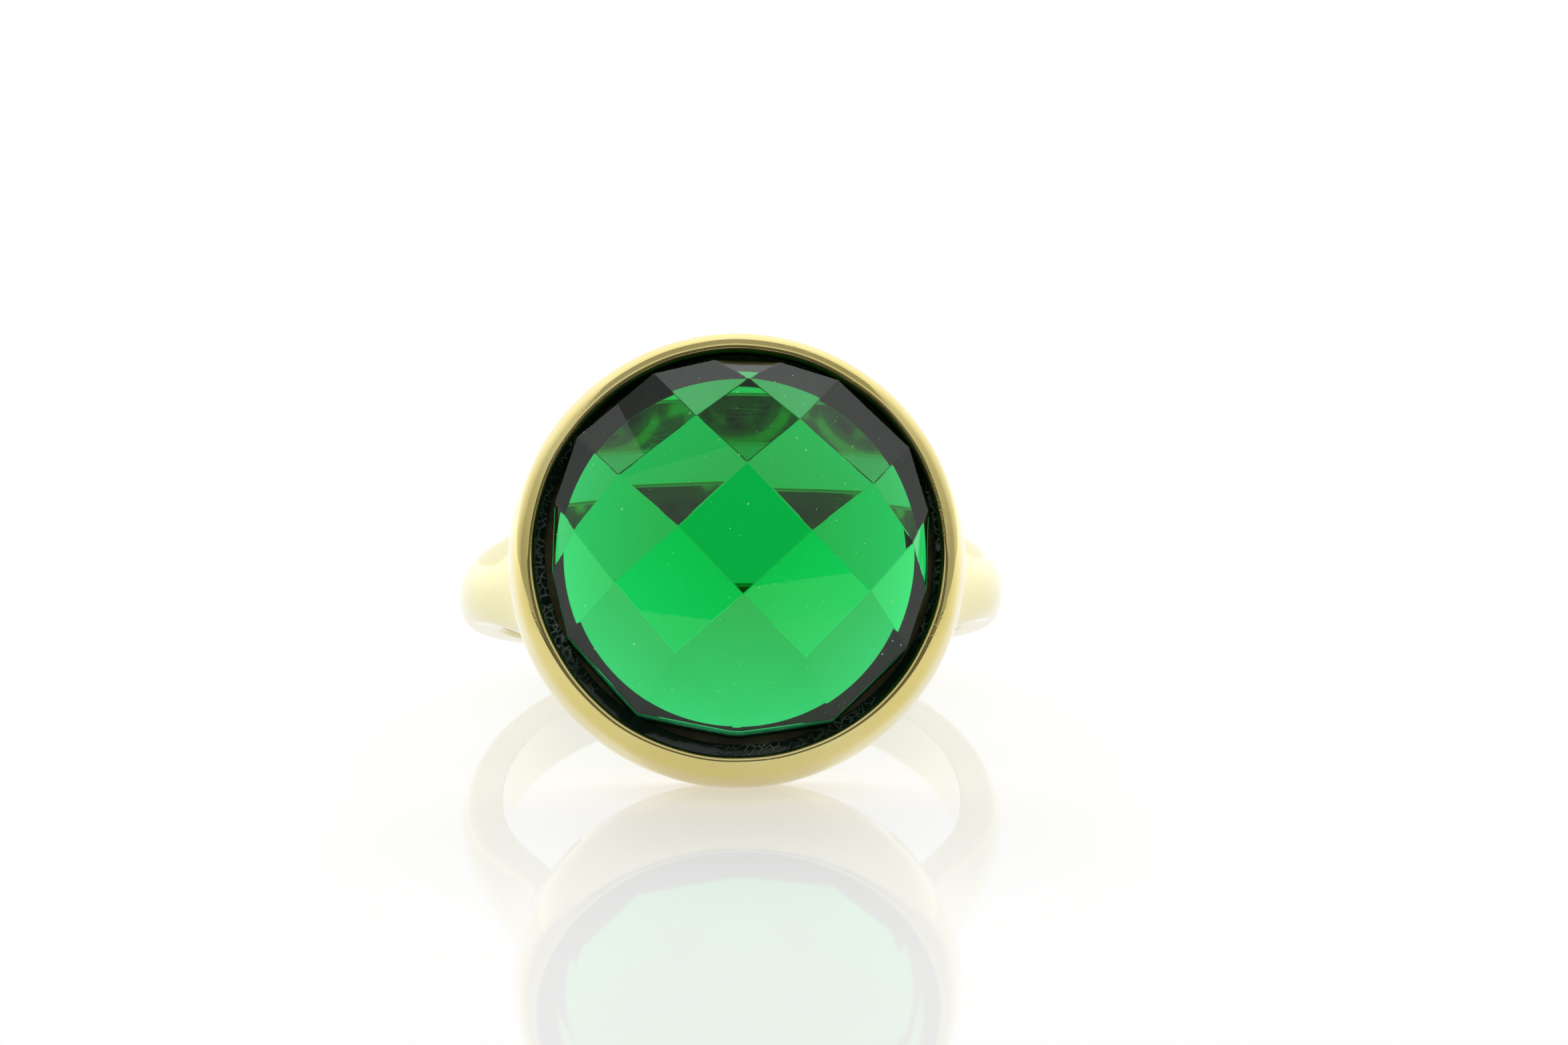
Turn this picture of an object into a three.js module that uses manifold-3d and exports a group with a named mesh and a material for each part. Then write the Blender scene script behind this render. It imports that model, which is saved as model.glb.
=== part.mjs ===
// Round cocktail ring: a flat-backed chequer-cut green stone in a plain collet on a D-section shank.
// Units are millimetres, +Z up. The ring lies as it rests on a table: on the lower back edge of the
// collet and on the lower edge of the back of the shank, with the stone facing -Y and a little up.
import * as THREE from 'three';
import Module from 'manifold-3d';
import { mergeVertices } from 'three/addons/utils/BufferGeometryUtils.js';

const wasm = await Module();
wasm.setup();

// ---------------------------------------------------------------- driving dimensions (mm)
// "out" is the distance from the middle of the finger hole towards the stone.
const FINGER_R = 8.65;          // finger hole, US size 7
const SHANK_THICK = 1.6;        // at the crown of the D
const SHOULDER_THICK = 1.45;    // the same at the collet
const SHANK_EDGE = 0.9;         // at the edges of the D
const SHANK_HALF_W_BACK = 1.25; // half width behind the finger
const SHANK_HALF_W_HEAD = 2.2;  // half width at the shoulders
const SHANK_HEAD_DROP = 0.2;    // how far the shoulders sit below the middle of the band
const SHANK_CIRCLE_END = 106;   // degrees from the back where the shoulders leave the circle
const SHOULDER_IN_X = 6.2;      // inner face of the shoulder where it meets the collet
const SOLDER_THICK = 0.14;      // seam under the collet
const SOLDER_SPREAD = 0.07;     // how far the seam stands out round the shoulder

const BACK_OUT = 8.8;           // back plane of the collet
const LIP_OUT = 12.5;           // crest of the rubbed-over lip
const BACK_R = 7.8;             // collet at its back edge
const BULGE_R = 8.1;            // widest
const LIP_R = 7.7;              // shoulder of the lip
const OPENING_R = 7.12;         // inner edge of the lip
const BORE_R = 7.2;             // inside of the collet wall
const BASE_HOLE_R = 6.2;        // open back
const BASE_THICK = 0.5;         // base flange of the collet

const SEAT_HOLE_R = 5.1;        // bearing ring that the stone sits on
const SEAT_THICK = 0.42;
const FIT = 0.03;               // clearance between fitted pieces

const GIRDLE_OUT = 12.6;        // where the crown meets the girdle
const STONE_SHIFT = [0.17, 0.42];  // the stone sits a little off the middle of the collet
const RIM_SHIFT = [-0.08, -0.19];  // and its girdle a little off the middle of the lattice
const CROWN_TURN = 2.4;            // degrees
const CROWN = {                 // chequer lattice round the apex facet; lists go up, right, down, left
  innerR: 2.3,
  midR: [4.4, 4.8, 4.8, 4.8],
  midTurn: [24, 23, 28, 23],
  midDrop: 1.28,
  cornerR: [5.55, 5.9, 6.15, 5.9],
  rimR: 6.78,
  rimTurnA: 15.2,
  rimTurnB: 32.7,
  rimDrop: 3.2,
};
const CEMENT_TOP = 11.6;        // setting cement left in the gap round the girdle

const SEGMENTS = 96;
const DEG = Math.PI / 180;

// ---------------------------------------------------------------- solids
function toManifold(geometry) {
  const flat = geometry.clone();
  for (const key of Object.keys(flat.attributes)) {
    if (key !== 'position') flat.deleteAttribute(key);
  }
  const merged = mergeVertices(flat, 1e-5);
  const position = merged.attributes.position;
  const vertProperties = new Float32Array(position.array);
  const triVerts = new Uint32Array(merged.index.array);
  return new wasm.Manifold(new wasm.Mesh({ numProp: 3, vertProperties, triVerts }));
}

function toGeometry(manifold) {
  const mesh = manifold.getMesh();
  const geometry = new THREE.BufferGeometry();
  const position = new Float32Array(mesh.numVert * 3);
  for (let i = 0; i < mesh.numVert; i += 1) {
    for (let k = 0; k < 3; k += 1) {
      position[3 * i + k] = mesh.vertProperties[mesh.numProp * i + k];
    }
  }
  geometry.setAttribute('position', new THREE.BufferAttribute(position, 3));
  geometry.setIndex(Array.from(mesh.triVerts));
  return geometry;
}

// Turned body about the stone's axis, from a closed profile of [radius, out] points.
function turned(profile) {
  const points = profile.map(([r, out]) => new THREE.Vector2(r, out));
  points.push(points[0].clone());
  const geometry = new THREE.LatheGeometry(points, SEGMENTS);
  geometry.rotateX(Math.PI / 2);
  return geometry;
}

function arc(cx, cy, r, from, to, steps) {
  const points = [];
  for (let i = 0; i <= steps; i += 1) {
    const t = (from + ((to - from) * i) / steps) * DEG;
    points.push([cx + r * Math.cos(t), cy + r * Math.sin(t)]);
  }
  return points;
}

function signedVolume(position, index) {
  const corner = (i) => new THREE.Vector3().fromArray(position, 3 * i);
  let volume = 0;
  for (let i = 0; i < index.length; i += 3) {
    volume += corner(index[i]).dot(corner(index[i + 1]).cross(corner(index[i + 2]))) / 6;
  }
  return volume;
}

// Closed body through equal rings of points, with flat ends.
function skinned(rings) {
  const n = rings[0].length;
  const position = [];
  const index = [];
  rings.forEach((ring) => ring.forEach((p) => position.push(p.x, p.y, p.z)));
  for (let i = 0; i + 1 < rings.length; i += 1) {
    for (let j = 0; j < n; j += 1) {
      const k = (j + 1) % n;
      const a = i * n + j;
      const b = i * n + k;
      const c = (i + 1) * n + k;
      const d = (i + 1) * n + j;
      index.push(a, b, c, a, c, d);
    }
  }
  const last = (rings.length - 1) * n;
  const flat = rings[0].map((p) => new THREE.Vector2(p.u, p.v));
  THREE.ShapeUtils.triangulateShape(flat, []).forEach(([a, b, c]) => {
    index.push(a, c, b);
    index.push(last + a, last + b, last + c);
  });
  if (signedVolume(position, index) < 0) index.reverse();
  const geometry = new THREE.BufferGeometry();
  geometry.setAttribute('position', new THREE.Float32BufferAttribute(position, 3));
  geometry.setIndex(index);
  return geometry;
}

// ---------------------------------------------------------------- collet
const bulgeMid = (BACK_OUT + LIP_OUT) / 2 - 0.15;
const outerWall = [];
for (let i = 0; i <= 10; i += 1) {
  const s = i / 10;
  const out = BACK_OUT + 0.15 + s * (LIP_OUT - 0.62 - BACK_OUT - 0.15);
  const low = BACK_R + (BULGE_R - BACK_R) * Math.sin((Math.PI / 2) * Math.min(1, s / 0.5));
  const high = LIP_R + 0.12 + (BULGE_R - LIP_R - 0.12) * Math.cos((Math.PI / 2) * Math.max(0, s / 0.5 - 1));
  outerWall.push([out < bulgeMid ? low : high, out]);
}
const colletProfile = [
  [BASE_HOLE_R, BACK_OUT],
  [BACK_R - 0.13, BACK_OUT],
  ...outerWall,
  [LIP_R + 0.02, LIP_OUT - 0.44],
  [LIP_R - 0.1, LIP_OUT - 0.26],
  [LIP_R - 0.24, LIP_OUT - 0.1],
  [LIP_R - 0.37, LIP_OUT],
  [OPENING_R + 0.12, LIP_OUT - 0.05],
  [OPENING_R + 0.04, LIP_OUT - 0.16],
  [OPENING_R, LIP_OUT - 0.34],
  [BORE_R, LIP_OUT - 0.62],
  [BORE_R, BACK_OUT + BASE_THICK],
  [BASE_HOLE_R, BACK_OUT + BASE_THICK],
];

const seatTop = BACK_OUT + BASE_THICK + FIT + SEAT_THICK;
const seatProfile = [
  [SEAT_HOLE_R + 0.1, BACK_OUT + BASE_THICK + FIT],
  [BORE_R - FIT, BACK_OUT + BASE_THICK + FIT],
  [BORE_R - FIT, seatTop],
  [SEAT_HOLE_R + 0.08, seatTop],
  [SEAT_HOLE_R, seatTop - 0.08],
  [SEAT_HOLE_R, BACK_OUT + BASE_THICK + FIT + 0.1],
];

// ---------------------------------------------------------------- stone
function polar(r, turn, drop) {
  return new THREE.Vector3(r * Math.sin(turn * DEG), r * Math.cos(turn * DEG), -drop);
}

function facet(a, b, c) {
  const plane = new THREE.Plane().setFromCoplanarPoints(a, b, c);
  return plane.normal.z < 0 ? plane.negate() : plane;
}

// Point of the given plan position on a plane.
function onPlane(plane, r, turn) {
  const p = polar(r, turn, 0);
  p.z = -(plane.normal.x * p.x + plane.normal.y * p.y + plane.constant) / plane.normal.z;
  return p;
}

const { innerR, midR, midTurn, midDrop, cornerR, rimR, rimTurnA, rimTurnB, rimDrop } = CROWN;
const inner = (k) => polar(innerR, 90 * k, 0);
const rimOffset = new THREE.Vector3(RIM_SHIFT[0], RIM_SHIFT[1], 0);
const rim = (k, turn) => polar(rimR, 90 * k + turn, rimDrop).add(rimOffset);
const between = (a, b) => a.clone().add(b).multiplyScalar(0.5);

// Four side facets between the inner corners: the two beside the top quarter lean on its neighbours.
const mid = (k, side) => polar(midR[k], 90 * k + side * midTurn[k], midDrop);
const sides = [
  facet(inner(0), inner(1), mid(1, -1)),
  facet(inner(1), inner(2), mid(1, 1)),
  facet(inner(2), inner(3), mid(3, -1)),
  facet(inner(3), inner(0), mid(3, 1)),
];
const midAfter = (k) => onPlane(sides[k], midR[k], 90 * k + midTurn[k]);
const midBefore = (k) => onPlane(sides[(k + 3) % 4], midR[k], 90 * k - midTurn[k]);

const crownPlanes = [new THREE.Plane(new THREE.Vector3(0, 0, 1), 0), ...sides];
const outerPlanes = [];
for (let k = 0; k < 4; k += 1) {
  const next = (k + 1) % 4;
  const before = midBefore(k);
  const after = midAfter(k);
  const kite = facet(inner(k), before, after);
  const corner = onPlane(kite, cornerR[k], 90 * k);
  const rimMiddle = between(rim(k, rimTurnB), rim(k + 1, -rimTurnB));
  crownPlanes.push(kite);
  outerPlanes.push(facet(corner, rim(k, -rimTurnA), rim(k, rimTurnA)));
  outerPlanes.push(facet(after, corner, between(rim(k, rimTurnA), rim(k, rimTurnB))));
  outerPlanes.push(facet(before, corner, between(rim(k, -rimTurnA), rim(k, -rimTurnB))));
  outerPlanes.push(facet(after, midBefore(next), rimMiddle));
}

// The girdle is as many-sided as the outer row: each outer facet ends on an upright face of its own.
const girdlePlanes = outerPlanes.map(({ normal, constant }) => {
  const flat = Math.hypot(normal.x, normal.y);
  const upright = new THREE.Vector3(normal.x / flat, normal.y / flat, 0);
  return new THREE.Plane(upright, (constant - rimDrop * normal.z) / flat);
});

const apexOut = GIRDLE_OUT + rimDrop;
const stoneBack = seatTop + FIT;

function slabOver(plane) {
  const size = 60;
  const box = new THREE.BoxGeometry(size, size, size);
  const turn = new THREE.Quaternion().setFromUnitVectors(new THREE.Vector3(0, 0, 1), plane.normal);
  const centre = plane.normal.clone().multiplyScalar(size / 2 - plane.constant);
  box.applyMatrix4(new THREE.Matrix4().compose(centre, turn, new THREE.Vector3(1, 1, 1)));
  box.rotateZ(-CROWN_TURN * DEG);
  box.translate(0, 0, apexOut);
  return toManifold(box);
}

const stoneBlank = new THREE.CylinderGeometry(rimR + 1, rimR + 1, apexOut + 1 - stoneBack, SEGMENTS);
stoneBlank.rotateX(Math.PI / 2);
stoneBlank.translate(0, 0, (apexOut + 1 + stoneBack) / 2);
let stoneSolid = toManifold(stoneBlank);
[...crownPlanes, ...outerPlanes, ...girdlePlanes].forEach((plane) => {
  stoneSolid = stoneSolid.subtract(slabOver(plane));
});
const stoneGeometry = toGeometry(stoneSolid);
stoneGeometry.translate(STONE_SHIFT[0], STONE_SHIFT[1], 0);

// ---------------------------------------------------------------- cement round the girdle
const cementBlank = toManifold(turned([
  [BORE_R - 1.0, stoneBack],
  [BORE_R - FIT, stoneBack],
  [BORE_R - FIT, CEMENT_TOP],
  [BORE_R - 1.0, CEMENT_TOP - 0.12],
]));
const cementCore = turned([
  [0, stoneBack - 1],
  [rimR + 0.11, stoneBack - 1],
  [rimR + 0.11, CEMENT_TOP + 1],
  [0, CEMENT_TOP + 1],
]);
cementCore.translate(STONE_SHIFT[0] + RIM_SHIFT[0], STONE_SHIFT[1] + RIM_SHIFT[1], 0);
const cementGeometry = toGeometry(cementBlank.subtract(toManifold(cementCore)));

// ---------------------------------------------------------------- shank
// D section, counter-clockwise: u runs along the finger, v away from it.
function dSection(halfWidth, thick) {
  const points = [];
  const round = 0.22;
  arc(-halfWidth + round, round, round, 180, 270, 3).forEach((p) => points.push(p));
  arc(halfWidth - round, round, round, 270, 360, 3).forEach((p) => points.push(p));
  const steps = 12;
  for (let i = 0; i <= steps; i += 1) {
    const t = Math.PI * (i / steps);
    const u = halfWidth * Math.cos(t);
    points.push([u, SHANK_EDGE + (thick - SHANK_EDGE) * Math.sin(t) ** 0.9]);
  }
  return points;
}

const seamOut = BACK_OUT - FIT;
const shoulderTop = seamOut - SOLDER_THICK - FIT;

// Inner face of the shank in the plane of the ring, for a turn of -1..1 from shoulder to shoulder.
function spine(s) {
  const side = Math.sign(s) || 1;
  const circlePart = 0.72;
  const along = Math.abs(s);
  if (along <= circlePart) {
    const t = (along / circlePart) * SHANK_CIRCLE_END * DEG;
    return {
      point: new THREE.Vector2(side * FINGER_R * Math.sin(t), -FINGER_R * Math.cos(t)),
      heading: new THREE.Vector2(side * Math.cos(t), Math.sin(t)).multiplyScalar(side),
    };
  }
  const end = SHANK_CIRCLE_END * DEG;
  const p0 = new THREE.Vector2(FINGER_R * Math.sin(end), -FINGER_R * Math.cos(end));
  const d0 = new THREE.Vector2(Math.cos(end), Math.sin(end)).multiplyScalar(2.4);
  const p3 = new THREE.Vector2(SHOULDER_IN_X, shoulderTop);
  const d3 = new THREE.Vector2(0, 2.2);
  const curve = new THREE.CubicBezierCurve(p0, p0.clone().add(d0), p3.clone().sub(d3), p3);
  const t = (along - circlePart) / (1 - circlePart);
  const point = curve.getPoint(t);
  const heading = t === 1 ? new THREE.Vector2(0, 1) : curve.getTangent(t);
  return {
    point: new THREE.Vector2(side * point.x, point.y),
    heading: new THREE.Vector2(side * heading.x, heading.y).multiplyScalar(side),
  };
}

function flare(s) {
  return THREE.MathUtils.smoothstep(Math.abs(s), 0.66, 1);
}

function sectionAt(s) {
  const halfWidth = SHANK_HALF_W_BACK + (SHANK_HALF_W_HEAD - SHANK_HALF_W_BACK) * flare(s);
  const thin = THREE.MathUtils.smoothstep(Math.abs(s), 0.7, 1);
  return dSection(halfWidth, SHANK_THICK + (SHOULDER_THICK - SHANK_THICK) * thin);
}

function shankRing(s) {
  const { point, heading } = spine(s);
  const outward = new THREE.Vector2(heading.y, -heading.x);
  return sectionAt(s).map(([u, v]) => ({
    x: point.x + outward.x * v,
    y: u - SHANK_HEAD_DROP * flare(s),
    z: point.y + outward.y * v,
    u,
    v,
  }));
}

const STATIONS = 88;
const shankRings = [];
for (let i = 0; i <= STATIONS; i += 1) {
  shankRings.push(shankRing(-1 + (2 * i) / STATIONS));
}
const shankGeometry = skinned(shankRings);

// Solder seam between a shoulder and the base of the collet.
function seamGeometry(side) {
  const section = dSection(SHANK_HALF_W_HEAD + SOLDER_SPREAD, SHOULDER_THICK);
  const level = (out) => section.map(([u, v]) => {
    const wide = SHOULDER_IN_X - SOLDER_SPREAD + v * (1 + (2 * SOLDER_SPREAD) / SHOULDER_THICK);
    return { x: side * wide, y: side * u - SHANK_HEAD_DROP, z: out, u, v };
  });
  return skinned([level(seamOut - SOLDER_THICK), level(seamOut)]);
}

// ---------------------------------------------------------------- resting pose
// Tilt that brings the lowest points of the collet and of the back of the shank to one level.
function lowest(points, tilt) {
  return Math.min(...points.map(([out, up]) => out * Math.sin(tilt) + up * Math.cos(tilt)));
}
const colletLow = colletProfile.map(([r, out]) => [out, -r]);
const shankLow = dSection(SHANK_HALF_W_BACK, SHANK_THICK).map(([u, v]) => [-FINGER_R - v, u]);
let low = 5 * DEG;
let high = 45 * DEG;
for (let i = 0; i < 50; i += 1) {
  const tilt = (low + high) / 2;
  if (lowest(colletLow, tilt) < lowest(shankLow, tilt)) low = tilt;
  else high = tilt;
}
const restTilt = (low + high) / 2;
const lift = -lowest(shankLow, restTilt);

const pose = new THREE.Matrix4().makeBasis(
  new THREE.Vector3(1, 0, 0),
  new THREE.Vector3(0, Math.sin(restTilt), Math.cos(restTilt)),
  new THREE.Vector3(0, -Math.cos(restTilt), Math.sin(restTilt)),
);
pose.setPosition(0, 0, lift);

// ---------------------------------------------------------------- assembly
const gold = { color: 0xd8b860, roughness: 0.16, metalness: 1 };
const finishes = {
  glass: { color: 0x0fae4e, roughness: 0.04, metalness: 0 },
  gold,
  solder: { color: 0xcdb676, roughness: 0.3, metalness: 1 },
  cement: { color: 0x14261c, roughness: 0.7, metalness: 0 },
};

const pieces = [
  ['stone', stoneGeometry, 'glass'],
  ['collet', turned(colletProfile), 'gold'],
  ['bearing_ring', turned(seatProfile), 'gold'],
  ['setting_cement', cementGeometry, 'cement'],
  ['shank', shankGeometry, 'gold'],
  ['solder_left', seamGeometry(-1), 'solder'],
  ['solder_right', seamGeometry(1), 'solder'],
];

const group = new THREE.Group();
group.name = 'cocktail_ring';
pieces.forEach(([name, geometry, finish]) => {
  const placed = toGeometry(toManifold(geometry));
  placed.applyMatrix4(pose);
  placed.computeBoundingBox();
  const mesh = new THREE.Mesh(placed, new THREE.MeshStandardMaterial(finishes[finish]));
  mesh.name = name;
  group.add(mesh);
});

// Put the origin under the middle of the whole ring, on the table.
const box = new THREE.Box3().setFromObject(group);
const middle = box.getCenter(new THREE.Vector3());
group.children.forEach((mesh) => {
  mesh.geometry.translate(-middle.x, -middle.y, -box.min.z);
  mesh.geometry = mesh.geometry.toNonIndexed();
  mesh.geometry.computeVertexNormals();
});

export default group;
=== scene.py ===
# %% [markdown]
# # A round cocktail ring
# A green glass stone sits in a plain gold collet, the collet on a D-section shank, and the ring lies
# on a white table. The frame is the engineering model: it gives the place and size of every piece.
# Each visible piece is made again here as a finer surface, in the same place, and rides on that frame.

# %% Load the frame
import itertools
import math

import bpy
import numpy as np
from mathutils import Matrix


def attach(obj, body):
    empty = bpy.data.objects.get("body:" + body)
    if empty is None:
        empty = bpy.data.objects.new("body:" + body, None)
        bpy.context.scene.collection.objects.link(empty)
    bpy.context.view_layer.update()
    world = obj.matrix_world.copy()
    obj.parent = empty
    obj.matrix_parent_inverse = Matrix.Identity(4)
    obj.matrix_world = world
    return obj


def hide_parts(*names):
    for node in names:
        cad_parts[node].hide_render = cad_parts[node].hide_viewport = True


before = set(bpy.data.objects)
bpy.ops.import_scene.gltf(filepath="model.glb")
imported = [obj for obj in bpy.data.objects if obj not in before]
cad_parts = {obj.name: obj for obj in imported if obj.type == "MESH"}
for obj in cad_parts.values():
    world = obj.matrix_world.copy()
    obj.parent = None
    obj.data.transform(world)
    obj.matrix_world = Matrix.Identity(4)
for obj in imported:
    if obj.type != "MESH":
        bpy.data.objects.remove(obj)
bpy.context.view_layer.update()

MM = 0.001
print("frame nodes:", sorted(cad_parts))

# %% [markdown]
# ## The ring's own directions
# The ring does not stand square to the table: it rests on the lower edge of the collet and on the back
# of the shank. All shapes are easier to describe round the finger hole, so every piece is worked out
# with three distances - across, up along the finger, and out towards the stone - and turned into the
# table's directions in one step at the end.

# %% Local directions
HOLE_MIDDLE = np.array([0.0, 2.8655, 4.3818])
REST_TILT = math.radians(19.4127)
ACROSS = np.array([1.0, 0.0, 0.0])
UP = np.array([0.0, math.sin(REST_TILT), math.cos(REST_TILT)])
OUT = np.array([0.0, -math.cos(REST_TILT), math.sin(REST_TILT)])


def place(across, up, out):
    """Hole middle plus each distance times its direction, in metres, as an (..., 3) array."""
    a, u, o = np.broadcast_arrays(across, up, out)
    points = HOLE_MIDDLE + a[..., None] * ACROSS + u[..., None] * UP + o[..., None] * OUT
    return points * MM


print("stone faces", np.round(OUT, 3))

# %% Mesh helpers
def new_piece(name, vertices, faces, smooth=True):
    """A mesh object from points and faces, riding on the one body."""
    mesh = bpy.data.meshes.new(name)
    mesh.from_pydata(np.asarray(vertices, dtype=float).reshape(-1, 3).tolist(), [], faces)
    mesh.polygons.foreach_set("use_smooth", np.full(len(mesh.polygons), smooth))
    mesh.update()
    piece = bpy.data.objects.new(name, mesh)
    bpy.context.collection.objects.link(piece)
    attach(piece, "root")
    return piece


def quads(rows, columns, wrap_rows, wrap_columns):
    """Four-sided faces of a grid of points; a wrapped direction joins its last line to its first."""
    i, j = np.meshgrid(
        np.arange(rows if wrap_rows else rows - 1),
        np.arange(columns if wrap_columns else columns - 1),
        indexing="ij",
    )
    i2, j2 = (i + 1) % rows, (j + 1) % columns
    grid = np.stack([i * columns + j, i2 * columns + j, i2 * columns + j2, i * columns + j2], -1)
    return grid.reshape(-1, 4)


def outward(points, faces):
    """Faces in the order that makes the enclosed volume positive."""
    p = np.asarray(points).reshape(-1, 3)
    a, b, c, d = (p[faces[:, k]] for k in range(4))
    volume = np.einsum("ij,ij->", a, np.cross(b, c)) + np.einsum("ij,ij->", a, np.cross(c, d))
    return faces if volume > 0 else faces[:, ::-1]


def capped(points):
    """Faces of a tube, given as rows of one closed outline, with a flat face over each end."""
    rows, columns = points.shape[:2]
    faces = outward(points, quads(rows, columns, False, True))
    first, last = list(range(columns)), [(rows - 1) * columns + k for k in range(columns)]
    runs_forward = faces[0, 0] < faces[0, 2]
    ends = [first[::-1], last] if runs_forward else [first, last[::-1]]
    return faces.tolist() + ends


def softened(corners, radii, steps=6):
    """A closed outline with each corner replaced by a short curve: a quadratic curve from a point one
    radius before the corner to a point one radius after it, with the corner as its handle."""
    corners = np.asarray(corners, dtype=float)
    before, after = np.roll(corners, 1, axis=0), np.roll(corners, -1, axis=0)
    lines = []
    for corner, a, b, radius in zip(corners, before, after, radii):
        start = corner + (a - corner) * min(0.45, radius / np.linalg.norm(a - corner))
        end = corner + (b - corner) * min(0.45, radius / np.linalg.norm(b - corner))
        t = np.linspace(0, 1, steps)[:, None]
        lines.append((1 - t) ** 2 * start + 2 * t * (1 - t) * corner + t**2 * end)
    return np.concatenate(lines)


def dense(outline, step):
    """The same closed outline with extra points so that no two are further apart than the step."""
    result = []
    for a, b in zip(outline, np.roll(outline, -1, axis=0)):
        count = max(1, int(np.ceil(np.linalg.norm(b - a) / step)))
        result.append(a + (b - a) * (np.arange(count) / count)[:, None])
    return np.concatenate(result)


# %% [markdown]
# ## The collet
# A collet is a cup turned from gold with an open back. Its wall bulges a little, and its top is rubbed
# over into a rounded lip. It could be spun with a Screw modifier, but worked out as radius and height
# against angle it can also carry the small unevenness that a file and a burnisher leave.

# %% Collet
BACK_OUT, LIP_OUT = 8.8, 12.5
COLLET_OUTLINE = [
    (6.2, 8.8), (7.8, 8.8), (8.1, 10.0), (8.09, 10.9), (7.86, 11.95), (7.6, 12.32), (7.33, 12.5),
    (7.13, 12.38), (7.12, 12.0), (7.2, 11.75), (7.2, 9.3), (6.2, 9.3),
]
COLLET_SOFT = [0.06, 0.14, 0.6, 0.6, 0.42, 0.2, 0.14, 0.14, 0.12, 0.12, 0.05, 0.05]
LIP_WAVE, LIP_WAVE_FROM = 0.03, 11.2


def hand_work(angle, seed):
    """Small uneven wave round the ring: a sum of eight sines of rising count and falling height."""
    rng = np.random.default_rng(seed)
    counts = np.array([2, 3, 5, 7, 9, 13, 17, 23])
    heights = rng.uniform(0.4, 1.0, 8) / counts**0.7
    phases = rng.uniform(0, 2 * np.pi, 8)
    return np.sin(angle[..., None] * counts + phases) @ heights


def turned(outline, turns, wobble=0.0, from_out=LIP_OUT, seed=1):
    """Revolves a closed (radius, out) outline; above from_out the radius carries the hand-work wave."""
    angle = np.linspace(0, 2 * np.pi, turns, endpoint=False)[:, None]
    radius, out = outline[:, 0][None, :], outline[:, 1][None, :]
    grown = np.clip((out - from_out) / 0.8, 0, 1)
    radius = radius + wobble * grown * hand_work(angle[:, 0], seed)[:, None]
    points = place(radius * np.cos(angle), radius * np.sin(angle), out + 0 * angle)
    faces = outward(points, quads(turns, outline.shape[0], True, True))
    return points, faces.tolist()


collet_outline = dense(softened(COLLET_OUTLINE, COLLET_SOFT), 0.09)
points, faces = turned(collet_outline, 480, LIP_WAVE, LIP_WAVE_FROM, seed=4)
collet = new_piece("collet_polished", points, faces)
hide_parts("collet")
print("collet faces:", len(faces))

# %% [markdown]
# ## The bearing ring
# Inside the collet a plain turned ring makes the step that the stone rests on. It is seen only through
# the stone and from behind, so it keeps its tool marks and a satin finish; its gold is darkened almost
# to black as painted shade for the inside of the collet under the stone.

# %% Bearing ring
SEAT_TOP = 9.75
SEAT_OUTLINE = [(5.1, 9.34), (7.16, 9.34), (7.16, SEAT_TOP), (5.1, SEAT_TOP)]
seat_outline = dense(softened(SEAT_OUTLINE, [0.07, 0.04, 0.04, 0.07], 5), 0.08)
points, faces = turned(seat_outline, 240)
seat = new_piece("bearing_ring_satin", points, faces)
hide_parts("bearing_ring")
print("bearing ring faces:", len(faces))

# %% [markdown]
# ## The stone
# The crown is cut as a chequerboard: nine four-sided facets in the middle and sixteen round the rim.
# Each facet is a true plane, because glass shows every bend. Under each outer facet stands an upright
# plane of the rough ground girdle, and the back is flat. The corners of the stone are then the points
# where three of these planes meet and no other plane cuts them off.

# %% Crown planes
STONE_SHIFT = (0.17, 0.42)
RIM_SHIFT = np.array([-0.08, -0.19, 0.0])
CROWN_TURN = math.radians(2.4)
GIRDLE_OUT = 12.6
STONE_BACK = SEAT_TOP + 0.03
INNER_R, MID_DROP, RIM_DROP = 2.3, 1.28, 3.2  # corners of the top facet, and drops below it
MID_R, MID_TURN = (4.4, 4.8, 4.8, 4.8), (24, 23, 28, 23)
CORNER_R = (5.55, 5.9, 6.15, 5.9)
RIM_R, RIM_TURN_A, RIM_TURN_B = 6.78, 15.2, 32.7
APEX_OUT = GIRDLE_OUT + RIM_DROP
EDGE_WIDTH = 0.03


def polar(radius, turn, drop=0.0):
    """Point at a radius and a turn in degrees clockwise from straight up, a drop below the top facet."""
    t = math.radians(turn)
    return np.array([radius * math.sin(t), radius * math.cos(t), -drop])


def plane_through(a, b, c):
    """Unit normal facing out of the stone, and its distance from the origin."""
    normal = np.cross(b - a, c - a)
    normal = normal / np.linalg.norm(normal)
    normal = normal if normal[2] > 0 else -normal
    return np.append(normal, normal @ a)


def on_plane(plane, radius, turn):
    """Point of that plan position lifted or lowered on to the plane."""
    point = polar(radius, turn)
    point[2] = (plane[3] - plane[0] * point[0] - plane[1] * point[1]) / plane[2]
    return point


inner = [polar(INNER_R, 90 * k) for k in range(4)]
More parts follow.
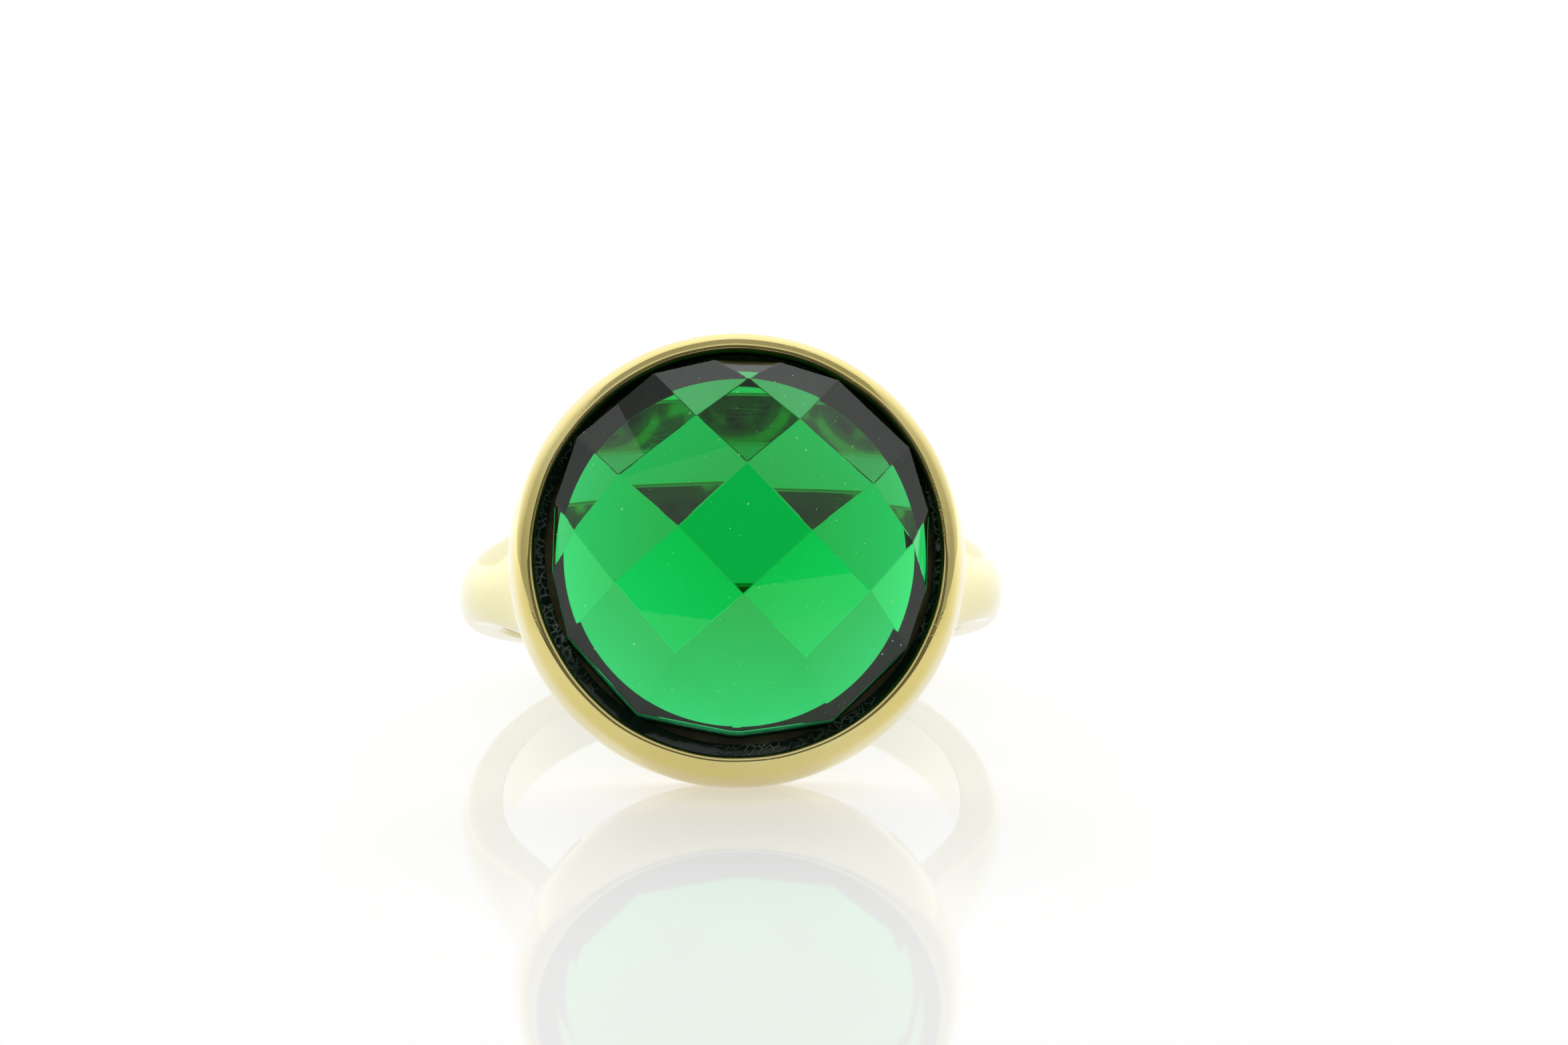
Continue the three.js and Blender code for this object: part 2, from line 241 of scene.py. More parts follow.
# Each side facet passes through one middle corner: the quarter it stands in, and the side of that.
leans_on = [(1, -1), (1, 1), (3, -1), (3, 1)]
sides = [plane_through(inner[k], inner[(k + 1) % 4],
                       polar(MID_R[q], 90 * q + side * MID_TURN[q], MID_DROP))
         for k, (q, side) in enumerate(leans_on)]
inner_planes, outer_planes = [np.array([0.0, 0.0, 1.0, 0.0])] + sides, []
for k in range(4):
    turn, following = 90 * k, (k + 1) % 4
    before = on_plane(sides[k - 1], MID_R[k], turn - MID_TURN[k])
    after = on_plane(sides[k], MID_R[k], turn + MID_TURN[k])
    beyond = on_plane(sides[k], MID_R[following], turn + 90 - MID_TURN[following])
    kite = plane_through(inner[k], before, after)
    corner = on_plane(kite, CORNER_R[k], turn)
    rim_turns = (-RIM_TURN_B, -RIM_TURN_A, RIM_TURN_A, RIM_TURN_B, 90 - RIM_TURN_B)
    rim = [polar(RIM_R, turn + t, RIM_DROP) + RIM_SHIFT for t in rim_turns]
    inner_planes.append(kite)
    outer_planes += [plane_through(corner, rim[1], rim[2]),
                     plane_through(after, corner, (rim[2] + rim[3]) / 2),
                     plane_through(before, corner, (rim[0] + rim[1]) / 2),
                     plane_through(after, beyond, (rim[3] + rim[4]) / 2)]
print("crown facets:", len(inner_planes) + len(outer_planes), "rise above the girdle:", RIM_DROP, "mm")

# %% Girdle and back planes
def girdle_plane(plane):
    """Upright plane through the line on which an outer facet reaches the girdle's level."""
    flat = math.hypot(plane[0], plane[1])
    return np.array([plane[0] / flat, plane[1] / flat, 0.0, (plane[3] + RIM_DROP * plane[2]) / flat])


girdle_planes = [girdle_plane(plane) for plane in outer_planes]
back_plane = np.array([0.0, 0.0, -1.0, APEX_OUT - STONE_BACK])
planes = np.array(inner_planes + outer_planes + girdle_planes + [back_plane])
c, t = math.cos(CROWN_TURN), math.sin(CROWN_TURN)
planes[:, :2] = planes[:, :2] @ np.array([[c, -t], [t, c]])
print("stone faces:", len(planes))

# %% Stone mesh
def facet_corners():
    """Every point where three planes meet and no other plane cuts below it."""
    trios = np.array(list(itertools.combinations(range(len(planes)), 3)))
    normals, reach = planes[trios][:, :, :3], planes[trios][:, :, 3]
    solid = np.abs(np.linalg.det(normals)) > 1e-4
    meets = np.linalg.solve(normals[solid], reach[solid][..., None])[..., 0]
    outside = (meets @ planes[:, :3].T - planes[:, 3]).max(axis=1)
    return np.unique(np.round(meets[outside < 1e-7], 6), axis=0)


points = facet_corners()


def facet_loop(plane):
    """All corners on a plane, in order round their middle as seen from outside."""
    members = np.nonzero(np.abs(points @ plane[:3] - plane[3]) < 1e-5)[0]
    side = np.cross(plane[:3], [0.3, 0.9, 0.1])
    side /= np.linalg.norm(side)
    other = np.cross(plane[:3], side)
    offset = points[members] - points[members].mean(axis=0)
    order = np.argsort(np.arctan2(offset @ other, offset @ side))
    return [int(member) for member in members[order]]


stone_points = place(points[:, 0] + STONE_SHIFT[0], points[:, 1] + STONE_SHIFT[1], points[:, 2] + APEX_OUT)
stone_faces = [facet_loop(plane) for plane in planes]
stone = new_piece("stone_cut", stone_points, stone_faces, False)
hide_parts("stone")
edge = stone.modifiers.new("polished edges", "BEVEL")
edge.width = EDGE_WIDTH * MM
edge.segments = 2
edge.limit_method = "ANGLE"
edge.angle_limit = math.radians(8)
widest = float(np.hypot(*points[:, :2].T).max())
print("stone corners:", len(points), "radius of the girdle corners:", round(widest, 2))

# %% Which stone faces are ground
ground = np.zeros(len(planes), dtype=np.int32)
ground[-1 - len(girdle_planes):-1] = 1
stone.data.polygons.foreach_set("material_index", ground)
print("ground faces:", int(ground.sum()))

# %% [markdown]
# ## The setting cement
# A little dark cement fills the gap between the girdle and the collet, crazed all over. Its near-black
# colour is painted shade for the deep gap, and its pale crazed lines are painted glints. It is a ring of
# uneven height: thin at the top, where the stone is close to the wall, and thicker at the bottom.

# %% Cement
CEMENT_TOP, CEMENT_LEAST = 11.6, 10.6
CEMENT_WALL_R, CEMENT_GAP, CEMENT_LIFT = 7.165, 0.11, 0.02


def cement_surface(turns, columns):
    """Ring between the stone's girdle and the collet's bore: the section is a loop of four sides,
    and the top side carries a rough height made of the hand-work wave."""
    angle = np.linspace(0, 2 * np.pi, turns, endpoint=False)[:, None]
    s = np.linspace(0, 1, columns, endpoint=False)[None, :]
    middle = np.array(STONE_SHIFT) + RIM_SHIFT[:2]
    direction = np.cos(angle) * middle[0] + np.sin(angle) * middle[1]
    inner = direction + np.sqrt(direction**2 - middle @ middle + (RIM_R + CEMENT_GAP) ** 2)
    across = np.clip(np.minimum(s * 4, 3 - s * 4), 0, 1)
    rise = np.clip(np.minimum(s * 4 - 1, 4 - s * 4), 0, 1)
    rough = 0.05 * hand_work(angle[:, 0] * 3, 9)[:, None] + 0.03 * hand_work(angle[:, 0] * 11, 12)[:, None]
    top = CEMENT_TOP - 0.12 + rough * 0.8 - 0.1 * (1 - across)
    radius = inner + (CEMENT_WALL_R - inner) * across
    bottom = STONE_BACK + CEMENT_LIFT
    out = bottom + (np.clip(top, CEMENT_LEAST, CEMENT_TOP) - bottom) * rise
    return place(radius * np.cos(angle), radius * np.sin(angle), out)


points = cement_surface(480, 32)
faces = outward(points, quads(480, 32, True, True)).tolist()
cement = new_piece("setting_cement_crazed", points, faces)
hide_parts("setting_cement")
print("cement faces:", len(faces))

# %% [markdown]
# ## The shank
# The shank is D wire, domed outside and flat inside, bent round the finger and spread where it meets
# the collet. It is a section carried along a path: round the finger hole for most of the way, then
# along a short curve up to the collet's base.

# %% Shank
FINGER_R = 8.65
THICK, THICK_HEAD, EDGE = 1.6, 1.45, 0.9
HALF_BACK, HALF_HEAD, HEAD_DROP = 1.25, 2.26, 0.26
CIRCLE_END = math.radians(106)
SHOULDER_IN, SHOULDER_TOP = 6.2, 8.6
CIRCLE_PART = 0.72
D_CORNER, D_COLUMNS, STATIONS = 0.2, 44, 481


def smooth(x, low, high):
    """Zero below low, one above high, an S curve between."""
    t = np.clip((x - low) / (high - low), 0, 1)
    return t * t * (3 - 2 * t)


def spine(s):
    """Inner face of the shank and the direction away from the finger, for s from -1 to 1.
    It is a circle round the finger, then a cubic curve that ends upright under the collet."""
    along, side = np.abs(s), np.where(s < 0, -1.0, 1.0)
    t = np.minimum(along / CIRCLE_PART, 1) * CIRCLE_END
    circle = np.stack([FINGER_R * np.sin(t), -FINGER_R * np.cos(t)], -1)
    circle_heading = np.stack([np.cos(t), np.sin(t)], -1)
    p0 = np.array([FINGER_R * math.sin(CIRCLE_END), -FINGER_R * math.cos(CIRCLE_END)])
    p1 = p0 + 2.4 * np.array([math.cos(CIRCLE_END), math.sin(CIRCLE_END)])
    p3 = np.array([SHOULDER_IN, SHOULDER_TOP])
    p2 = p3 - np.array([0.0, 2.2])
    b = np.clip((along - CIRCLE_PART) / (1 - CIRCLE_PART), 0, 1)[..., None]
    curve = (1 - b) ** 3 * p0 + 3 * (1 - b) ** 2 * b * p1 + 3 * (1 - b) * b**2 * p2 + b**3 * p3
    heading = (1 - b) ** 2 * (p1 - p0) + 2 * (1 - b) * b * (p2 - p1) + b**2 * (p3 - p2)
    heading /= np.linalg.norm(heading, axis=-1, keepdims=True)
    on_circle = (along <= CIRCLE_PART)[..., None]
    point = np.where(on_circle, circle, curve)
    heading = np.where(on_circle, circle_heading, heading)
    away = np.stack([heading[..., 1], -heading[..., 0]], -1)
    point[..., 0] *= side
    away[..., 0] *= side
    return point, away


def d_section(half, thick):
    """Closed D outline: a flat inner face with rounded corners, straight edges and a domed outside."""
    dome = np.linspace(0, np.pi, D_COLUMNS)
    corner = np.linspace(0, np.pi / 2, 8)
    half, thick = half[:, None], thick[:, None]
    sunk_sin, sunk_cos = D_CORNER * (1 - np.sin(corner)), D_CORNER * (1 - np.cos(corner))
    u = [half * np.cos(dome), -half + sunk_cos, half - sunk_sin]
    v = [EDGE + (thick - EDGE) * np.sin(dome) ** 0.9, sunk_sin + 0 * half, sunk_cos + 0 * half]
    return np.concatenate(u, 1), np.concatenate(v, 1)


stations = np.linspace(-1, 1, STATIONS)
point, away = spine(stations)
grow = smooth(np.abs(stations), 0.66, 1)
half = HALF_BACK + (HALF_HEAD - HALF_BACK) * grow
thick = THICK + (THICK_HEAD - THICK) * smooth(np.abs(stations), 0.7, 1)
u, v = d_section(half, thick)
points = place(point[:, None, 0] + away[:, None, 0] * v, u - HEAD_DROP * grow[:, None],
               point[:, None, 1] + away[:, None, 1] * v)
faces = capped(points)
shank = new_piece("shank_polished", points, faces)
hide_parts("shank")
print("shank faces:", len(faces))

# %% [markdown]
# ## The solder seams
# Each shoulder is soldered to the collet's base. The solder fills the corner round the joint with a
# hollow curve, so it is the D outline again, spreading more and more towards the collet.

# %% Solder
SEAM_OUT, SEAM_THICK, SPREAD = 8.77, 0.36, 0.3


def seam(side):
    """Stack of D outlines under the collet: the spread grows like a quarter circle towards the top, so
    that the solder fills the corner with a hollow curve."""
    level = np.linspace(0, 1, 13)
    grown = SPREAD * (1 - np.sqrt(1 - level**2)) - 0.01
    u, v = d_section(HALF_HEAD + grown, THICK_HEAD + 0 * grown)
    v = v * (1 + 0.5 * grown[:, None] / THICK_HEAD) - 0.25 * grown[:, None] + SHOULDER_IN
    out = (SEAM_OUT - SEAM_THICK * (1 - level))[:, None]
    return place(side * v, side * u - HEAD_DROP, out + 0 * v)


for side, name in ((-1, "left"), (1, "right")):
    points = seam(side)
    bead = new_piece("solder_bead_" + name, points, capped(points))
    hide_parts("solder_" + name)
print("solder beads: 2")

# %% [markdown]
# ## Shared surface effects
# Polished metal and glass are never quite clean. Two effects are used by several finishes: fine
# scratches, which are thin lines in many directions, and dust, which is small pale specks.

# %% Node helpers
def group(name, inputs, outputs):
    """An empty shader node group with named sockets and its input and output nodes."""
    tree = bpy.data.node_groups.new(name, "ShaderNodeTree")
    for label, kind, value in inputs:
        socket = tree.interface.new_socket(name=label, in_out="INPUT", socket_type=kind)
        if value is not None:
            socket.default_value = value
    for label, kind in outputs:
        tree.interface.new_socket(name=label, in_out="OUTPUT", socket_type=kind)
    return tree, tree.nodes.new("NodeGroupInput"), tree.nodes.new("NodeGroupOutput")


def add(tree, kind, **settings):
    """A node with its properties and its unlinked socket values set by name."""
    node = tree.nodes.new(kind)
    for key, value in settings.items():
        if hasattr(node, key):
            setattr(node, key, value)
        else:
            node.inputs[key.replace("_", " ")].default_value = value
    return node


def maths(tree, operation, *values):
    """The result of a maths node; each value is a number or the output of another node."""
    node = add(tree, "ShaderNodeMath", operation=operation)
    for socket, value in zip(node.inputs, values):
        if isinstance(value, float):
            socket.default_value = value
        else:
            tree.links.new(value, socket)
    return node.outputs[0]


def summed(tree, *sources):
    """The sources added together."""
    total = sources[0]
    for source in sources[1:]:
        total = maths(tree, "ADD", total, source)
    return total


def ranged(tree, source, low, high, to_low, to_high):
    """A value mapped from one range to another and held at its ends."""
    node = add(tree, "ShaderNodeMapRange")
    for key, value in (("From Min", low), ("From Max", high), ("To Min", to_low), ("To Max", to_high)):
        node.inputs[key].default_value = value
    tree.links.new(source, node.inputs["Value"])
    return node.outputs[0]


def noise(tree, coords, scale, detail):
    """A noise node fed with the coordinates."""
    node = add(tree, "ShaderNodeTexNoise", Scale=scale, Detail=detail)
    tree.links.new(coords, node.inputs["Vector"])
    return node


print("node helpers: group, add, maths, summed, ranged, noise")

# %% Scratches and dust groups
SCRATCH_TURNS = ((0.3, 0.2, 0.5), (1.1, 0.9, 2.1), (2.0, 0.4, 1.2))
SCRATCH_STRETCH = (60, 2600, 2600)
SCRATCH_WIDTH = 0.012


def scratches_group():
    """Thin lines: noise stretched about forty times along each of three directions, kept only where it
    comes very near one value. The strongest of the three is kept, in patches."""
    tree, enter, leave = group(
        "fine scratches",
        [("Vector", "NodeSocketVector", None), ("Scale", "NodeSocketFloat", 1.0),
         ("Amount", "NodeSocketFloat", 0.5)],
        [("Mask", "NodeSocketFloat")],
    )
    lines = []
    for turn in SCRATCH_TURNS:
        spin = add(tree, "ShaderNodeMapping", vector_type="POINT")
        spin.inputs["Rotation"].default_value = turn
        spin.inputs["Scale"].default_value = SCRATCH_STRETCH
        tree.links.new(enter.outputs["Vector"], spin.inputs["Vector"])
        stretched = add(tree, "ShaderNodeTexNoise", Detail=1.0, Roughness=0.4)
        tree.links.new(spin.outputs["Vector"], stretched.inputs["Vector"])
        tree.links.new(enter.outputs["Scale"], stretched.inputs["Scale"])
        away = maths(tree, "ABSOLUTE", maths(tree, "SUBTRACT", stretched.outputs["Fac"], 0.5))
        lines.append(ranged(tree, away, 0.0, SCRATCH_WIDTH, 1.0, 0.0))
    strongest = maths(tree, "MAXIMUM", maths(tree, "MAXIMUM", lines[0], lines[1]), lines[2])
    patchy = noise(tree, enter.outputs["Vector"], 420.0, 2.0)
    keep = ranged(tree, patchy.outputs["Fac"], 0.5, 0.68, 0.0, 1.0)
    mask = maths(tree, "MULTIPLY", maths(tree, "MULTIPLY", strongest, keep), enter.outputs["Amount"])
    tree.links.new(mask, leave.inputs["Mask"])
    return tree


def dust_group():
    """Small round specks: distance to the nearest scattered point, kept where it is tiny and where a
    second value drawn for that point is high."""
    tree, enter, leave = group(
        "dust specks",
        [("Vector", "NodeSocketVector", None), ("Scale", "NodeSocketFloat", 2500.0),
         ("Size", "NodeSocketFloat", 0.12), ("Share", "NodeSocketFloat", 0.8)],
        [("Mask", "NodeSocketFloat")],
    )
    cells = add(tree, "ShaderNodeTexVoronoi", feature="F1")
    tree.links.new(enter.outputs["Vector"], cells.inputs["Vector"])
    tree.links.new(enter.outputs["Scale"], cells.inputs["Scale"])
    split = add(tree, "ShaderNodeSeparateColor")
    tree.links.new(cells.outputs["Color"], split.inputs[0])
    near = maths(tree, "LESS_THAN", cells.outputs["Distance"], enter.outputs["Size"])
    chosen = maths(tree, "GREATER_THAN", split.outputs[0], enter.outputs["Share"])
    tree.links.new(maths(tree, "MULTIPLY", near, chosen), leave.inputs["Mask"])
    return tree


SCRATCHES, DUST = scratches_group(), dust_group()
print("groups:", SCRATCHES.name, "and", DUST.name)


# %% Material helpers
def material(name):
    """A node material with its tree, its shader and the object's own coordinates."""
    mat = bpy.data.materials.new(name)
    mat.use_nodes = True
    tree = mat.node_tree
    coords = add(tree, "ShaderNodeTexCoord")
    return mat, tree, tree.nodes["Principled BSDF"], coords.outputs["Object"]


def use(tree, node_group, coords, **values):
    """A placed node group, fed with the coordinates."""
    node = add(tree, "ShaderNodeGroup")
    node.node_tree = node_group
    tree.links.new(coords, node.inputs["Vector"])
    for key, value in values.items():
        node.inputs[key].default_value = value
    return node.outputs[0]


def ramp(tree, source, stops):
    """Colours by value, from (position, colour) pairs."""
    node = add(tree, "ShaderNodeValToRGB")
    elements = node.color_ramp.elements
    while len(elements) < len(stops):
        elements.new(0.5)
    for element, (position, colour) in zip(elements, stops):
        element.position = position
        element.color = (*colour, 1.0)
    tree.links.new(source, node.inputs["Fac"])
    return node.outputs["Color"]


def raised(tree, shader, height, strength, distance):
    """Bumps the shader's surface by a height value."""
    bump = add(tree, "ShaderNodeBump", Strength=strength, Distance=distance)
    tree.links.new(height, bump.inputs["Height"])
    tree.links.new(bump.outputs["Normal"], shader.inputs["Normal"])


print("material helpers: material, use, ramp, raised")

# %% [markdown]
# ## Gold
# Polished gold has almost no colour of its own apart from what it reflects, so the work is in the
# reflection: a slow unevenness from the polishing mop, and fine scratches.

# %% Gold finishes
SCRATCH_ROUGH, SCRATCH_DEPTH = 0.25, -0.25


def gold(name, deep, pale, rough, scratch, swell):
    """Polished gold: the colour drifts between two golds, scratches roughen and dent the surface."""
    mat, tree, shader, coords = material(name)
    drift = noise(tree, coords, 260.0, 3.0)
    tree.links.new(ramp(tree, drift.outputs["Fac"], [(0.3, deep), (0.7, pale)]), shader.inputs["Base Color"])
    marks = use(tree, SCRATCHES, coords, Scale=1.0, Amount=scratch)
    fine = noise(tree, coords, 3500.0, 2.0)
    grain = ranged(tree, fine.outputs["Fac"], 0.3, 0.7, rough * 0.8, rough * 1.3)
    worn = ranged(tree, marks, 0.0, 1.0, 0.0, SCRATCH_ROUGH)
    tree.links.new(summed(tree, grain, worn), shader.inputs["Roughness"])
    slow = noise(tree, coords, 330.0, 2.0)
    swelling = ranged(tree, slow.outputs["Fac"], 0.0, 1.0, 0.0, swell)
    dents = ranged(tree, marks, 0.0, 1.0, 0.0, SCRATCH_DEPTH)
    raised(tree, shader, summed(tree, swelling, dents), 0.35, 0.00003)
    shader.inputs["Metallic"].default_value = 1.0
    shader.inputs["Coat Weight"].default_value = 0.8
    shader.inputs["Coat Roughness"].default_value = 0.03
    return mat


GOLD = gold("polished gold", (0.76, 0.63, 0.19), (0.84, 0.73, 0.30), 0.06, 0.6, 1.2)
# The shank gets a paler copy of the collet's gold: painted reflection of the bright back of the tent that
# the shank mirrors.
GOLD_SHANK_PALED = gold("polished gold shank, painted pale", (0.78, 0.71, 0.34), (0.83, 0.77, 0.42), 0.09, 0.5, 0.8)
# The inside gold is darkened far below the other golds: painted shade for the collet's inside under the
# stone.
GOLD_INSIDE_SHADED = gold("satin gold inside, painted shade", (0.16, 0.13, 0.07), (0.26, 0.21, 0.11), 0.4, 0.3, 1.0)
SOLDER = gold("solder", (0.74, 0.64, 0.38), (0.8, 0.72, 0.48), 0.25, 0.3, 3.0)
for piece, mat in ((collet, GOLD), (seat, GOLD_INSIDE_SHADED), (shank, GOLD_SHANK_PALED)):
    piece.data.materials.append(mat)
for name in ("left", "right"):
    bpy.data.objects["solder_bead_" + name].data.materials.append(SOLDER)
print("gold finishes: 4")

# %% [markdown]
# ## Green glass
# The stone is clear inside and takes its green from its depth: an absorption volume darkens red most
# and green least, so thin parts are pale and thick parts deep. The surface carries dust and hairlines,
# which glow faintly as a painted highlight for the light they catch.

# %% Glass
ABSORBED_TINT = (0.0, 0.82, 0.52, 1)
ABSORBED_DENSITY = 690.0


def fill_green(tree):
    """Makes the inside of the glass absorb light, red first."""
    inside = add(tree, "ShaderNodeVolumeAbsorption")
    inside.inputs["Color"].default_value = ABSORBED_TINT
    inside.inputs["Density"].default_value = ABSORBED_DENSITY
    tree.links.new(inside.outputs[0], tree.nodes["Material Output"].inputs["Volume"])


def glass():
    """Clear glass with a green absorbing inside, hairlines and dust on its skin; these glow as a painted
    highlight.
    """
    mat, tree, shader, coords = material("green glass")
    shader.inputs["Metallic"].default_value = 0.0
    shader.inputs["IOR"].default_value = 1.54
    shader.inputs["Transmission Weight"].default_value = 1.0
    # The emission is painted highlight: the dust and hairlines below glow as if lit.
    shader.inputs["Emission Strength"].default_value = 1.0
    marks = use(tree, SCRATCHES, coords, Scale=0.6, Amount=0.5)
    specks = use(tree, DUST, coords, Scale=3000.0, Size=0.09, Share=0.84)
    fluff = use(tree, DUST, coords, Scale=5200.0, Size=0.1, Share=0.9)
    tint = ramp(tree, specks, [(0.0, (0.12, 0.86, 0.40)), (1.0, (0.4, 0.8, 0.5))])
    tree.links.new(tint, shader.inputs["Base Color"])
    skin = summed(tree, ranged(tree, marks, 0, 1, 0, 0.12), ranged(tree, specks, 0, 1, 0, 0.5))
    tree.links.new(skin, shader.inputs["Roughness"])
    raised(tree, shader, summed(tree, marks, specks), 0.012, 0.00001)
    # Specks, fluff and hairlines glow a little: painted highlight for the light they catch.
    painted_glow_amount = summed(tree, ranged(tree, specks, 0, 1, 0, 0.30), ranged(tree, fluff, 0, 1, 0, 0.16),
                 ranged(tree, marks, 0.4, 1, 0, 0.05))
    pale = ramp(tree, painted_glow_amount, [(0.0, (0, 0, 0)), (1.0, (1.0, 1.0, 0.95))])
    tree.links.new(pale, shader.inputs["Emission Color"])
    fill_green(tree)
    return mat


stone.data.materials.append(glass())
print("glass:", stone.data.materials[0].name)

# %% Ground girdle
def ground_glass():
    """The girdle as the wheel left it: the same green glass with a rough, pitted skin."""
    mat, tree, shader, coords = material("ground green glass")
    shader.inputs["Metallic"].default_value = 0.0
    shader.inputs["IOR"].default_value = 1.52
    shader.inputs["Transmission Weight"].default_value = 1.0
    pits = noise(tree, coords, 2600.0, 4.0).outputs["Fac"]
    tree.links.new(ramp(tree, pits, [(0.35, (0.25, 0.5, 0.35)), (0.7, (0.9, 1.0, 0.95))]),
                   shader.inputs["Base Color"])
    tree.links.new(ranged(tree, pits, 0.3, 0.7, 0.35, 0.6), shader.inputs["Roughness"])
    raised(tree, shader, pits, 0.6, 0.00004)
    fill_green(tree)
    return mat


stone.data.materials.append(ground_glass())
print("stone finishes:", len(stone.data.materials))

# %% [markdown]
# ## Cement
# Cement cracks as it shrinks. The cracks are the edges of scattered cells, with the coordinates
# bent a little first so that the edges are not straight, and in patches they show pale crusted lines,
# which are painted glints; the near-black fill round them is painted shade for the gap.

# %% Cement finish
def cement_shade_and_glint_finish():
    """Dark green glossy fill as painted shade for the gap, crazed in patches to pale crusted lines that are
    painted glints.
    """
    mat, tree, shader, coords = material("crazed cement, painted shade and glints")
    bend = noise(tree, coords, 1800.0, 3.0)
    moved = add(tree, "ShaderNodeVectorMath", operation="MULTIPLY_ADD")
    tree.links.new(bend.outputs["Color"], moved.inputs[0])
    moved.inputs[1].default_value = (0.0005, 0.0005, 0.0005)
    tree.links.new(coords, moved.inputs[2])
    cracks = add(tree, "ShaderNodeTexVoronoi", feature="DISTANCE_TO_EDGE", Scale=3200.0)
    tree.links.new(moved.outputs[0], cracks.inputs["Vector"])
    patch = noise(tree, coords, 230.0, 4.0).outputs["Fac"]
    line = ranged(tree, cracks.outputs["Distance"], 0.0, 0.12, 1.0, 0.0)
    glinting_crust = maths(tree, "MULTIPLY", ranged(tree, patch, 0.5, 0.62, 0.0, 1.0), line)
    # The near-black fill is painted shade for the deep gap; the pale colour on the crack lines is painted
    # glints.
    shade_and_glint_colours = [(0.0, (0.004, 0.022, 0.010)), (0.35, (0.02, 0.06, 0.04)), (1.0, (0.30, 0.38, 0.33))]
    tree.links.new(ramp(tree, glinting_crust, shade_and_glint_colours), shader.inputs["Base Color"])
    tree.links.new(ranged(tree, glinting_crust, 0.0, 0.6, 0.12, 0.6), shader.inputs["Roughness"])
    raised(tree, shader, summed(tree, glinting_crust, patch), 0.6, 0.00004)
    return mat


cement.data.materials.append(cement_shade_and_glint_finish())
print("cement finish: 1")

# %% [markdown]
# ## The table
# The ring lies on a glossy white sheet. It is bright enough to lose its edges in white, and polished
# enough to show a faint mirror image of the ring.

# %% Table
TABLE_HALF = 3.0


def stage_quad(name, corners, finish):
    """A flat stage piece with four corners and one material."""
    mesh = bpy.data.meshes.new(name)
    mesh.from_pydata(corners, [], [(0, 1, 2, 3)])
    thing = bpy.data.objects.new(name, mesh)
    bpy.context.collection.objects.link(thing)
    thing.data.materials.append(finish)
    return thing


def white_acrylic():
    """Glossy white sheet that glows a little, with a haze too faint to see as a pattern."""
    mat, tree, shader, coords = material("white acrylic")
    haze = noise(tree, coords, 35.0, 3.0).outputs["Fac"]
    tree.links.new(ramp(tree, haze, [(0.0, (0.70, 0.70, 0.70)), (1.0, (0.73, 0.73, 0.727))]),
                   shader.inputs["Base Color"])
    tree.links.new(ranged(tree, haze, 0.3, 0.7, 0.03, 0.05), shader.inputs["Roughness"])
    shader.inputs["IOR"].default_value = 1.3
    shader.inputs["Emission Color"].default_value = (1.0, 0.995, 0.985, 1)
    shader.inputs["Emission Strength"].default_value = 0.40
    return mat


quarters = ((-1, -1), (1, -1), (1, 1), (-1, 1))
table = stage_quad("table", [(a * TABLE_HALF, b * TABLE_HALF, 0.0) for a, b in quarters], white_acrylic())
print("stage:", table.name)

# %% [markdown]
# ## Light and camera
# Small jewellery is lit from a white tent: soft light from everywhere, brightest behind and above the
# ring. Polished gold and glass also mirror whatever is dark round the camera. Four stage cards that
# the camera does not see stand for that: the opening of the tent, the camera itself, the bench in
# front of the ring and a dim gap overhead.

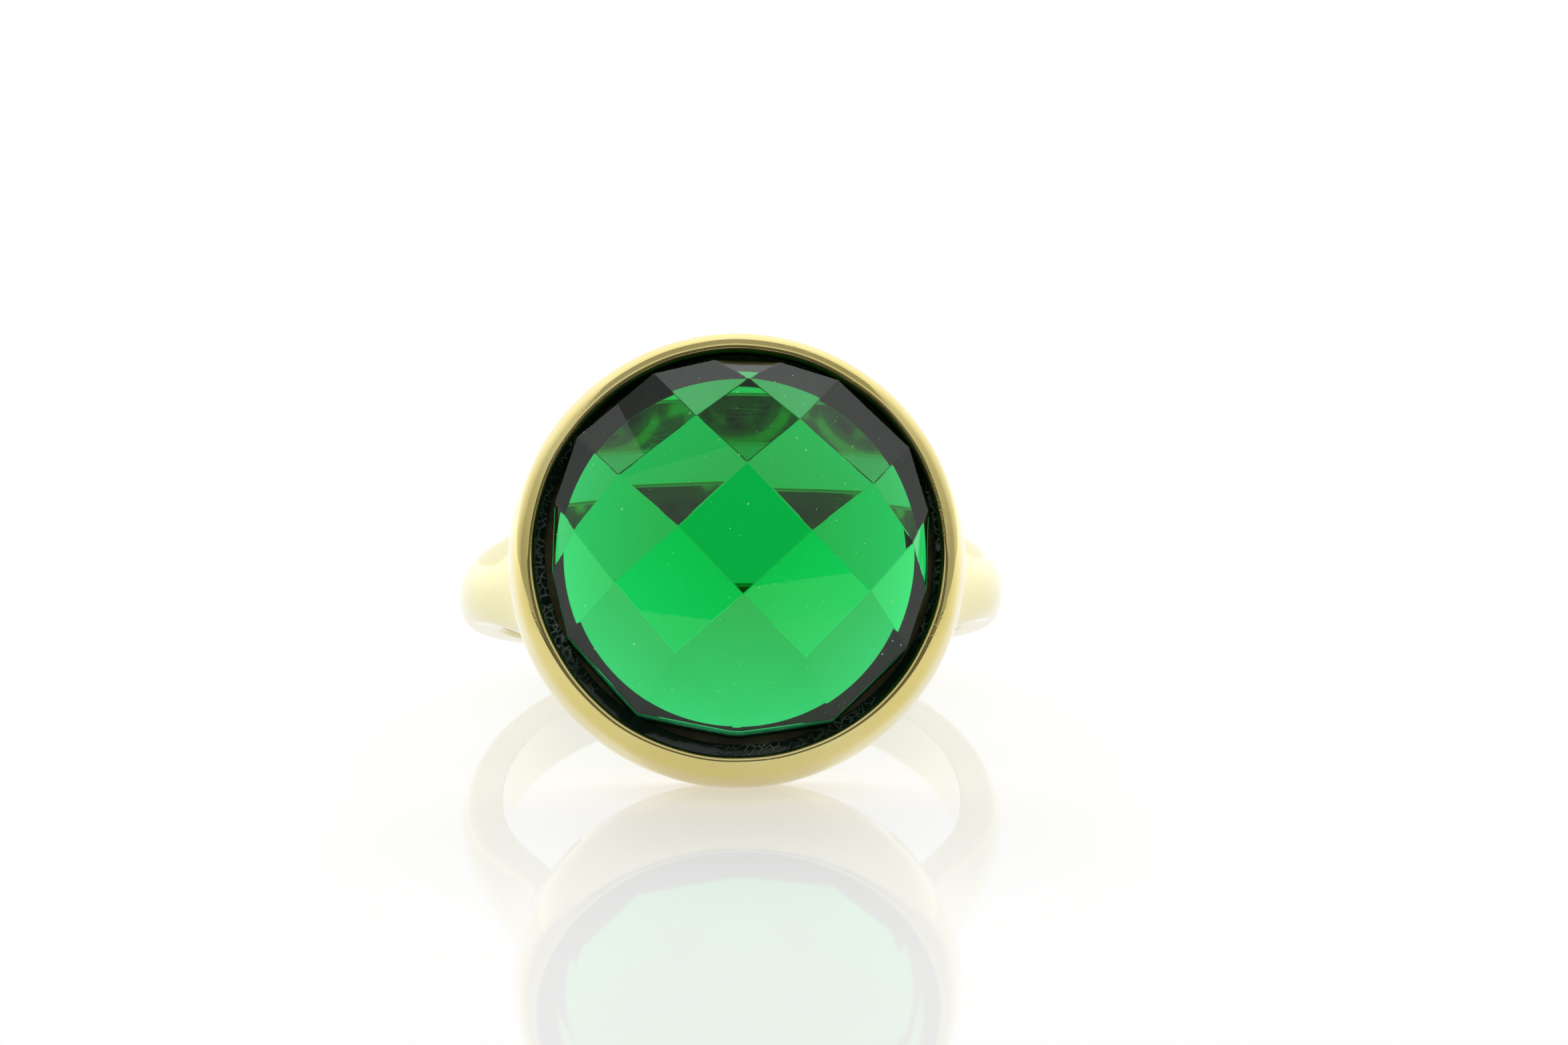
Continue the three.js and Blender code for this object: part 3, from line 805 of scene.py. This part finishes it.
# %% Light
world = bpy.data.worlds.new("white tent")
bpy.context.scene.world = world
world.use_nodes = True
wt = world.node_tree
where = wt.nodes.new("ShaderNodeTexCoord")
axes = wt.nodes.new("ShaderNodeSeparateXYZ")
wt.links.new(where.outputs["Generated"], axes.inputs[0])
behind = ranged(wt, axes.outputs["Y"], 0.05, 0.7, 0.45, 1.12)
above = ranged(wt, axes.outputs["Z"], 0.2, 0.9, 0.0, 0.3)
wt.links.new(summed(wt, behind, above), wt.nodes["Background"].inputs["Strength"])
wt.nodes["Background"].inputs["Color"].default_value = (1, 1, 1, 1)


def card(name, middle, facing, width, height, grey):
    """A flat card in one even grey that the camera does not see and that casts no shadow."""
    facing = np.asarray(facing, float) / np.linalg.norm(facing)
    side = np.cross([0, 0, 1.0], facing)
    side /= np.linalg.norm(side)
    up = np.cross(facing, side)
    corners = [np.asarray(middle) + a * side * width / 2 + b * up * height / 2 for a, b in quarters]
    mat, tree, *_ = material(name)
    glow = add(tree, "ShaderNodeEmission")
    glow.inputs["Color"].default_value = (*grey, 1)
    tree.links.new(glow.outputs[0], tree.nodes["Material Output"].inputs["Surface"])
    thing = stage_quad(name, [tuple(map(float, corner)) for corner in corners], mat)
    thing.visible_camera = False
    thing.visible_shadow = False


# Name, middle in metres, direction faced, width, height and grey of each card.
CARDS = (
    ("tent opening", (0.0, -0.30, 0.075), (0, 1, 0), 0.62, 0.17, (0.16, 0.16, 0.165)),
    ("camera body", (0.0, -0.24, 0.135), (0, 1, 0), 0.055, 0.05, (0.02, 0.016, 0.012)),
    ("dark bench", (0.0, -0.155, 0.0075), (0, 0.05, 1), 0.36, 0.23, (0.06, 0.06, 0.063)),
    ("overhead gap", (0.0, 0.0, 0.35), (0, 0.05, -1), 0.5, 0.28, (0.4, 0.4, 0.405)),
)
for settings in CARDS:
    card(*settings)
print("cards:", len(CARDS))

# %% Camera
CAMERA_PLACE = (-0.00364, -0.16357, 0.04194)
CAMERA_DOWN, CAMERA_TURN = 11.809, -1.94
SENSOR, LENS = 36.0, 103.9133

camera_data = bpy.data.cameras.new("camera")
camera = bpy.data.objects.new("camera", camera_data)
bpy.context.collection.objects.link(camera)
camera.location = CAMERA_PLACE
camera.rotation_euler = (math.radians(90 - CAMERA_DOWN), 0, math.radians(CAMERA_TURN))
camera_data.sensor_width = SENSOR
camera_data.lens = LENS
camera_data.clip_start = 0.005
camera_data.clip_end = 20
scene = bpy.context.scene
scene.camera = camera
scene.view_settings.view_transform = "Standard"
scene.view_settings.look = "None"
print("lens", round(camera_data.lens, 1), "mm")
